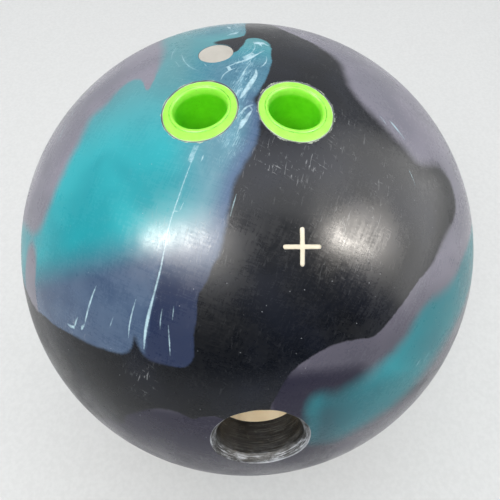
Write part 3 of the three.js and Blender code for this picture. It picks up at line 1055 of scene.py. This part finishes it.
def pin_piece():
    """A rod from the weight block to the skin, eased at its foot and sanded flush at its head."""
    m = Mesher()
    foot = BLOCK_TOP + BLOCK_PLAY - BALL_R
    profile = [(2.2, foot), (PIN_R - 0.6, foot), (PIN_R - 0.15, foot + 0.15), (PIN_R, foot + 0.6)]
    head = [(PIN_R, -0.2), (PIN_R - 0.03, -0.08), (PIN_R - 0.1, -0.03), (5.4, -0.02), (4.2, -0.02),
            (3.0, -0.02), (1.6, -0.02)]
    rings = [level(PIN, r, PIN_N, z) for r, z in profile]
    rings += between(rings[-1], circle(PIN, PIN_R, PIN_N, BALL_R, -0.2), 6)
    rings += [circle(PIN, r, PIN_N, BALL_R, lift) for r, lift in head]
    rings = m.loft(rings)
    m.cap(rings[0], PIN.at(0, 0, foot))
    m.cap(rings[-1], PIN.on(0, 0, BALL_R, -0.02))
    return m.build("locator_pin_rod", "locator_pin", [PIN_SKIN])


filler_piece()
block_piece()
pin_piece()


# ------------------------------------------------------------------ finger inserts and their adhesive
# the lip of an insert, from its outside to its rolled mouth: share of the way to the bore, height
# over the ball's surface, and grime
LIP = [
    (0.0, -0.7, 0), (0.0, -0.3, 0), (0.012, -0.12, 0), (0.05, -0.07, 0), (0.12, -0.05, 0),
    (0.3, -0.06, 0), (0.46, -0.08, 0), (0.5, -0.1, 0), (0.53, -0.16, 0.6), (0.56, -0.34, 1),
    (0.59, -0.34, 1), (0.62, -0.18, 0.5), (0.655, -0.12, 0), (0.71, -0.16, 0), (0.78, -0.36, 0),
    (0.85, -0.72, 0), (0.91, -1.25, 0), (0.95, -1.9, 0),
]
# on into the bore: the same share and height, and how much painted shade darkens the green
MOUTH = [(0.975, -2.5, 0.2), (0.99, -3.0, 0.8), (1.0, -3.8, 1), (1.0, -6, 1), (1.0, -10, 1)]
# the bore and the inner end, then the outside: share and height along the axis
BORE = [(1.0, -16), (1.0, -21), (1.0, -25.4), (0.93, 0.1 - INSERT_LENGTH), (0.4, -INSERT_LENGTH),
        (0.06, 0.05 - INSERT_LENGTH)]
OUTSIDE = [(0.0, 0.3 - INSERT_LENGTH), (0.0, -18), (0.0, -9)]


def insert_piece(name, node, feature, seed):
    """A tube with an oval bore: flush lip with a fine groove, rolled mouth, open end."""
    groove, depth = [], []

    def ring(share, height, on_ball=True, grime=0.0, deep_and_shade=0.0):
        made = []
        for a in turn(FINGER_N):
            outer = Vector((INSERT_R * math.cos(a), INSERT_R * math.sin(a)))
            bore = Vector((BORE_ACROSS * math.cos(a), BORE_SHIFT + BORE_ALONG * math.sin(a)))
            p = outer.lerp(bore, share)
            if on_ball:
                made.append(feature.on(p.x, p.y, BALL_R, height + wobble(a, 0.06, seed)))
            else:
                made.append(feature.at(p.x, p.y, height))
        groove.extend([grime] * FINGER_N)
        # how much painted shade darkens the green at this ring
        depth.extend([deep_and_shade] * FINGER_N)
        return made

    # the outside, the bore and its inner end take the darkest green, painted shade
    rings = [ring(*row, on_ball=False, deep_and_shade=1) for row in OUTSIDE]
    rings.append(ring(0.0, -3, on_ball=False))
    rings += [ring(share, height, grime=grime) for share, height, grime in LIP]
    rings += [ring(share, height, deep_and_shade=deep_and_shade) for share, height, deep_and_shade in MOUTH]
    rings += [ring(*row, on_ball=False, deep_and_shade=1) for row in BORE]
    m = Mesher()
    m.loft(rings, 0, 0, closed=True)
    piece = m.build(name, node, [VINYL])
    set_attribute(piece.data, "groove", groove)
    set_attribute(piece.data, "depth", depth)
    return piece


def glue_piece(name, node, feature, seed):
    """A thin sleeve of adhesive that has crept up unevenly between insert and hole."""
    m = Mesher()
    inside_r, outside_r = INSERT_R + GLUE_PLAY, FINGER_R - GLUE_PLAY

    def ring(r, base, z=None, creep=0.0):
        made = []
        for a in turn(FINGER_N):
            x, y = r * math.cos(a), r * math.sin(a)
            if z is None:
                rise = creep * (0.5 + wobble(a, 1.0, seed, 5.0))
                made.append(feature.on(x, y, BALL_R, base + rise))
            else:
                made.append(feature.at(x, y, z))
        return made

    middle = (inside_r + outside_r) / 2
    rings = [
        ring(inside_r, 0, z=1.2 - INSERT_LENGTH), ring(inside_r, 0, z=-12), ring(inside_r, -1.0),
        ring(inside_r, -0.35, creep=0.25), ring(middle, -0.3, creep=0.3),
        ring(outside_r, -0.35, creep=0.25), ring(outside_r, -1.0), ring(outside_r, 0, z=-12),
        ring(outside_r, 0, z=1.2 - INSERT_LENGTH), ring(middle, 0, z=1.0 - INSERT_LENGTH),
    ]
    m.loft(rings, 0, 0, closed=True)
    return m.build(name, node, [GLUE])


insert_piece("insert_left", "finger_insert_left", LEFT, 2.2)
insert_piece("insert_right", "finger_insert_right", RIGHT, 5.5)
glue_piece("adhesive_left", "insert_glue_left", LEFT, 8.2)
glue_piece("adhesive_right", "insert_glue_right", RIGHT, 3.6)

# ------------------------------------------------------------------ paint in the centre mark


def mark_piece():
    """A plate of paint in the cross, a little below the skin, with a slightly uneven top."""
    step, from_side, from_end = 0.45, 0.25, 0.4
    fill = [Vector(p) for p in cross_outline(0.0)]
    count = len(fill)
    edges = [(k, (k + 1) % count) for k in range(count)]
    reach = int(MARK_ARM / step)
    for i in range(-reach, reach + 1):
        for j in range(-reach, reach + 1):
            near, far = sorted((abs(i * step), abs(j * step)))
            if near < MARK_HALF - from_side and far < MARK_ARM - from_end:
                fill.append(Vector((i * step, j * step)))
    made, _, faces, _, _, _ = geometry.delaunay_2d_cdt(fill, edges, [tuple(range(count))], 1, 1e-6)
    tops, bottoms = [], []
    for k, p in enumerate(made):
        dimple = 0.05 * noise.noise(Vector((p.x * 1.3, p.y * 1.3, 4.0)))
        tops.append(MARK.on(p.x, p.y, BALL_R, -0.14 if k < count else -0.07 + dimple))
        bottoms.append(MARK.on(p.x, p.y, BALL_R, 0.05 - MARK_DEPTH))
    m = Mesher()
    top_ids, bottom_ids = m.add(tops), m.add(bottoms)
    for f in faces:
        m.face([top_ids[i] for i in f])
        m.face([bottom_ids[i] for i in reversed(f)])
    m.strip(top_ids[:count], bottom_ids[:count])
    return m.build("centre_mark_fill", "centre_mark_paint", [PAINT])


mark_piece()

# ------------------------------------------------------------------ floor, camera, light
FLOOR_R = 4.0


def floor_piece():
    """A broad pale disc that turns up a little at its rim."""
    rings, faces = [], []
    around = 96
    profile = [(0.02, 0), (0.3, 0), (1.0, 0), (2.2, 0), (3.0, 0), (3.5, 0.02), (FLOOR_R, 0.12)]
    points = [(0, 0, -BALL_R * MM)]
    for r, z in profile:
        rings.append(len(points))
        points += [(r * math.cos(a), r * math.sin(a), z - BALL_R * MM) for a in turn(around)]
    for k in range(around):
        n = (k + 1) % around
        faces.append((0, rings[0] + k, rings[0] + n))
        for one, other in zip(rings, rings[1:]):
            faces.append((one + k, other + k, other + n, one + n))
    mesh = bpy.data.meshes.new("floor")
    mesh.from_pydata(points, [], faces)
    mesh.polygons.foreach_set("use_smooth", [True] * len(mesh.polygons))
    g = Graph("floor_paper")
    grain = g.noise(g.place(), 0.4, 3, 0.5)
    g.set(Base_Color=g.clouded(grain, (206, 206, 204), (211, 211, 209)),
          Roughness=0.9, Specular_IOR_Level=0.1)
    mesh.materials.append(g.material)
    made = bpy.data.objects.new("floor", mesh)
    bpy.context.scene.collection.objects.link(made)


floor_piece()

CAMERA_DISTANCE = 2.425 * BALL_R * MM
AIM_RIGHT, AIM_DOWN = 0.0046, 0.0009  # how far the aim is off the ball's centre, in camera distances
camera_data = bpy.data.cameras.new("camera")
camera_data.sensor_width = 36
camera_data.lens = 36
camera_data.clip_start = 0.01
camera_data.clip_end = 50
camera = bpy.data.objects.new("camera", camera_data)
camera.location = PALM * CAMERA_DISTANCE
target = (AIM_RIGHT * PALM_U - AIM_DOWN * PALM_V) * CAMERA_DISTANCE
camera.rotation_euler = (target - camera.location).to_track_quat("-Z", "Y").to_euler()
bpy.context.scene.collection.objects.link(camera)
bpy.context.scene.camera = camera


def area_light(name, direction, distance, size, power, colour=(1, 1, 1), sheen=True, matt=True):
    """A soft rectangular light that faces the ball, its width along the palm chart's u axis.
    Without sheen it adds no highlight, without matt it adds nothing else."""
    data = bpy.data.lights.new(name, "AREA")
    data.shape = "RECTANGLE"
    data.size, data.size_y = size
    data.energy, data.color = power, colour
    made = bpy.data.objects.new(name, data)
    z = Vector(direction).normalized()
    x = (PALM_U - PALM_U.dot(z) * z).normalized()
    made.matrix_world = Matrix.LocRotScale(z * distance, Matrix((x, z.cross(x), z)).transposed(), None)
    made.visible_camera = False
    made.visible_glossy, made.visible_diffuse = sheen, matt
    bpy.context.scene.collection.objects.link(made)


area_light("key", (-0.3, -0.55, 0.78), 1.6, (0.6, 0.6), 9)
area_light("fill", (0.05, -0.66, 0.75), 1.6, (0.4, 0.4), 7, sheen=False)
area_light("key_glint", (-0.49, -0.40, 0.78), 1.6, (0.9, 0.2), 56, (1.0, 0.96, 0.88), matt=False)
area_light("side_glint", (0.74, -0.30, 0.60), 1.8, (0.75, 0.2), 54, (1.0, 0.94, 0.86), matt=False)
area_light("overhead", (0.12, -0.05, 1.0), 1.6, (1.6, 0.9), 15, matt=False)
area_light("window", (0.93, 0.02, 0.42), 1.7, (2.4, 1.7), 54, (1.0, 0.99, 0.97), matt=False)


def studio_world():
    """Even light, brighter overhead and behind the ball than from the front."""
    world = bpy.data.worlds.new("studio")
    world.use_nodes = True
    tree = world.node_tree
    tree.nodes.clear()
    where = tree.nodes.new("ShaderNodeTexCoord")
    split = tree.nodes.new("ShaderNodeSeparateXYZ")
    tree.links.new(where.outputs["Generated"], split.inputs[0])
    parts = []
    for axis, values in (("Z", (0.1, 0.95, 0.08, 1.0)), ("Y", (-0.2, 0.7, 0.0, 0.66))):
        part = tree.nodes.new("ShaderNodeMapRange")
        part.interpolation_type = "SMOOTHSTEP"
        for socket, value in zip(part.inputs[1:5], values):
            socket.default_value = value
        tree.links.new(split.outputs[axis], part.inputs[0])
        parts.append(part.outputs[0])
    total = tree.nodes.new("ShaderNodeMath")
    total.operation = "ADD"
    for socket, part in zip(total.inputs, parts):
        tree.links.new(part, socket)
    sky = tree.nodes.new("ShaderNodeBackground")
    sky.inputs["Color"].default_value = (0.95, 0.97, 1.0, 1.0)
    tree.links.new(total.outputs[0], sky.inputs["Strength"])
    out = tree.nodes.new("ShaderNodeOutputWorld")
    tree.links.new(sky.outputs[0], out.inputs["Surface"])
    bpy.context.scene.world = world


studio_world()
bpy.context.scene.view_settings.view_transform = "Standard"
